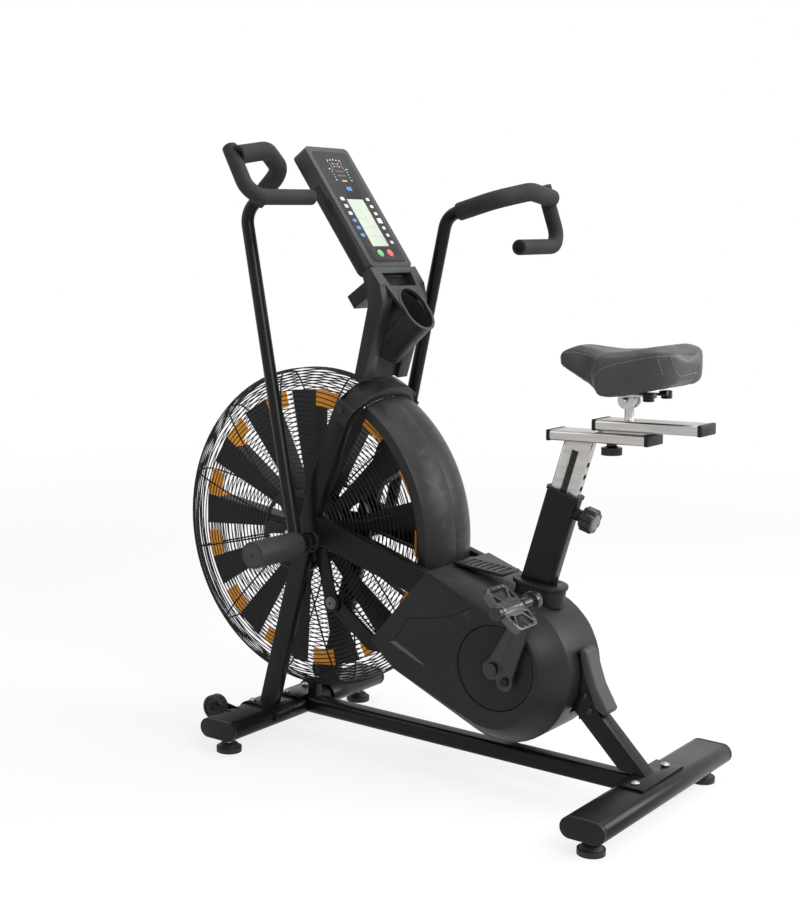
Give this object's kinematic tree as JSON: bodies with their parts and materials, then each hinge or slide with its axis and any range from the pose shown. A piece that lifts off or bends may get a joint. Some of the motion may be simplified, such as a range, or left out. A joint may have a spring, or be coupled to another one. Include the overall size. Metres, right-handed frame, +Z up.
{
  "type": "air bike",
  "caption": "Upright exercise bike with a caged air fan, swinging J-shaped handles, pedals, a sliding padded saddle and a tall console with a cup holder.",
  "frame": {"origin": "centre of the footprint at floor level, on the middle plane of the bike", "axes": "+Z up, +X towards the back of the bike, +Y towards the rider's right; the rider faces -X"},
  "size_m": [1.2338, 0.604, 1.2608],
  "materials": {
    "frame_black": "black powder coat, satin",
    "grey_steel": "grey metallic paint",
    "bare_steel": "brushed zinc and steel",
    "wire_black": "black coated wire",
    "plastic_black": "moulded black plastic",
    "plastic_dark": "moulded dark grey plastic",
    "fan_grey": "moulded blade, blue grey",
    "fan_orange": "orange blade tip",
    "crank_steel": "dark grey forged steel",
    "foam": "closed foam grip",
    "rubber": "black rubber",
    "vinyl": "charcoal stitched vinyl",
    "knob_black": "glossy black",
    "screen": "grey green liquid crystal",
    "keys": "white printed membrane keys",
    "green_key": "green",
    "red_key": "red"
  },
  "bodies": {
    "frame": {"front_stabilizer": "frame_black", "rear_stabilizer": "frame_black", "stabilizer_caps": "plastic_black", "left_side_frame": "frame_black", "right_side_frame": "frame_black", "yoke": "grey_steel", "bottom_rail": "frame_black", "rear_strut": "frame_black", "frame_bolts": "bare_steel", "left_cage": "wire_black", "right_cage": "wire_black", "left_shroud": "plastic_dark", "right_shroud": "plastic_dark", "left_cover": "plastic_dark", "right_cover": "plastic_dark", "louver_plate": "plastic_black", "seat_collar": "plastic_black", "bearings": "grey_steel", "fan_axle": "bare_steel", "drive_belt": "rubber", "seat_sleeve": "frame_black", "sleeve_bushing": "plastic_black", "wheel_brackets": "frame_black", "console_mast": "plastic_black", "console_case": "plastic_dark", "display_lens": "screen", "keypad": "keys"},
    "fan": {"fan_hub": "plastic_dark", "fan_blades": "fan_grey", "fan_tips": "fan_orange"},
    "crank": {"crank_spindle": "bare_steel", "drive_pulley": "grey_steel", "crank_discs": "plastic_black", "left_crank": "crank_steel", "right_crank": "crank_steel"},
    "left_pedal": {"left_pedal": "grey_steel"},
    "right_pedal": {"right_pedal": "grey_steel"},
    "left_arm": {"left_handle": "frame_black", "left_grip": "foam", "left_lever": "grey_steel"},
    "right_arm": {"right_handle": "frame_black", "right_grip": "foam", "right_lever": "grey_steel"},
    "left_rod": {"left_rod": "grey_steel"},
    "right_rod": {"right_rod": "grey_steel"},
    "left_wheel": {"left_wheel": "rubber"},
    "right_wheel": {"right_wheel": "rubber"},
    "front_left_foot": {"front_left_foot": "rubber"},
    "front_right_foot": {"front_right_foot": "rubber"},
    "rear_left_foot": {"rear_left_foot": "rubber"},
    "rear_right_foot": {"rear_right_foot": "rubber"},
    "seat_column": {"seat_post": "bare_steel", "lower_rail": "bare_steel"},
    "pull_pin": {"pull_pin": "knob_black"},
    "slide_knob": {"slide_knob": "knob_black"},
    "seat_slider": {"upper_rail": "bare_steel"},
    "seat": {"saddle_clamp": "bare_steel", "saddle": "vinyl"},
    "start_button": {"start_button": "green_key"},
    "stop_button": {"stop_button": "red_key"}
  },
  "joints": [
    {"name": "crank_turn", "type": "hinge", "parent": "frame", "child": "crank", "pos_m": [0.25315, 0, 0.262], "axis": [0, 1, 0], "continuous": true},
    {"name": "fan_turn", "type": "hinge", "parent": "frame", "child": "fan", "pos_m": [-0.27185, 0, 0.453], "axis": [0, 1, 0], "continuous": true},
    {"name": "left_pedal_turn", "type": "hinge", "parent": "crank", "child": "left_pedal", "pos_m": [0.33605, -0.2, 0.41156], "axis": [0, 1, 0], "continuous": true},
    {"name": "right_pedal_turn", "type": "hinge", "parent": "crank", "child": "right_pedal", "pos_m": [0.17024, 0.2, 0.11244], "axis": [0, 1, 0], "continuous": true},
    {"name": "left_arm_swing", "type": "hinge", "parent": "frame", "child": "left_arm", "pos_m": [-0.20405, -0.18, 0.448], "axis": [0, 1, 0], "range_deg": [0, 30.6]},
    {"name": "right_arm_swing", "type": "hinge", "parent": "frame", "child": "right_arm", "pos_m": [-0.20405, 0.18, 0.448], "axis": [0, 1, 0], "range_deg": [-30.6, 0]},
    {"name": "left_rod_swing", "type": "hinge", "parent": "left_arm", "child": "left_rod", "pos_m": [-0.16816, -0.077, 0.31682], "axis": [0, 1, 0], "range_deg": [-31.6, 1]},
    {"name": "right_rod_swing", "type": "hinge", "parent": "right_arm", "child": "right_rod", "pos_m": [-0.23994, 0.077, 0.31682], "axis": [0, 1, 0], "range_deg": [-1, 31.6]},
    {"name": "seat_height", "type": "slide", "parent": "frame", "child": "seat_column", "axis": [0.2639, 0, 0.9646], "range_m": [-0.08, 0.1]},
    {"name": "seat_fore_aft", "type": "slide", "parent": "seat_column", "child": "seat_slider", "axis": [0.9991, 0, 0.0419], "range_m": [-0.05, 0.06]},
    {"name": "seat_tilt", "type": "hinge", "parent": "seat_slider", "child": "seat", "pos_m": [0.45457, 0, 0.79426], "axis": [0, 1, 0], "range_deg": [-8, 8]},
    {"name": "pull_pin_slide", "type": "slide", "parent": "frame", "child": "pull_pin", "axis": [0.9646, 0, -0.2639], "range_m": [0, 0.012], "stiffness_N_per_m": 900},
    {"name": "slide_knob_turn", "type": "hinge", "parent": "seat_column", "child": "slide_knob", "pos_m": [0.42249, 0, 0.69984], "axis": [-0.0419, 0, 0.9991], "range_deg": [-180, 180]},
    {"name": "start_press", "type": "slide", "parent": "frame", "child": "start_button", "axis": [-0.7997, 0, -0.6004], "range_m": [0, 0.0015], "stiffness_N_per_m": 400},
    {"name": "stop_press", "type": "slide", "parent": "frame", "child": "stop_button", "axis": [-0.7997, 0, -0.6004], "range_m": [0, 0.0015], "stiffness_N_per_m": 400},
    {"name": "left_wheel_turn", "type": "hinge", "parent": "frame", "child": "left_wheel", "pos_m": [-0.39285, -0.19, 0.071], "axis": [0, 1, 0], "continuous": true},
    {"name": "right_wheel_turn", "type": "hinge", "parent": "frame", "child": "right_wheel", "pos_m": [-0.39285, 0.19, 0.071], "axis": [0, 1, 0], "continuous": true},
    {"name": "front_left_foot_turn", "type": "hinge", "parent": "frame", "child": "front_left_foot", "pos_m": [-0.32085, -0.229, 0.02], "axis": [0, 0, 1], "continuous": true},
    {"name": "front_right_foot_turn", "type": "hinge", "parent": "frame", "child": "front_right_foot", "pos_m": [-0.32085, 0.229, 0.02], "axis": [0, 0, 1], "continuous": true},
    {"name": "rear_left_foot_turn", "type": "hinge", "parent": "frame", "child": "rear_left_foot", "pos_m": [0.54115, -0.2385, 0.02], "axis": [0, 0, 1], "continuous": true},
    {"name": "rear_right_foot_turn", "type": "hinge", "parent": "frame", "child": "rear_right_foot", "pos_m": [0.54115, 0.2385, 0.02], "axis": [0, 0, 1], "continuous": true}
  ],
  "couplings": [
    {"joint": "fan_turn", "follows": "crank_turn", "ratio": 4},
    {"joint": "right_arm_swing", "follows": "left_arm_swing", "ratio": -1},
    {"joint": "left_rod_swing", "follows": "left_arm_swing", "ratio": -1},
    {"joint": "right_rod_swing", "follows": "left_arm_swing", "ratio": 1}
  ]
}
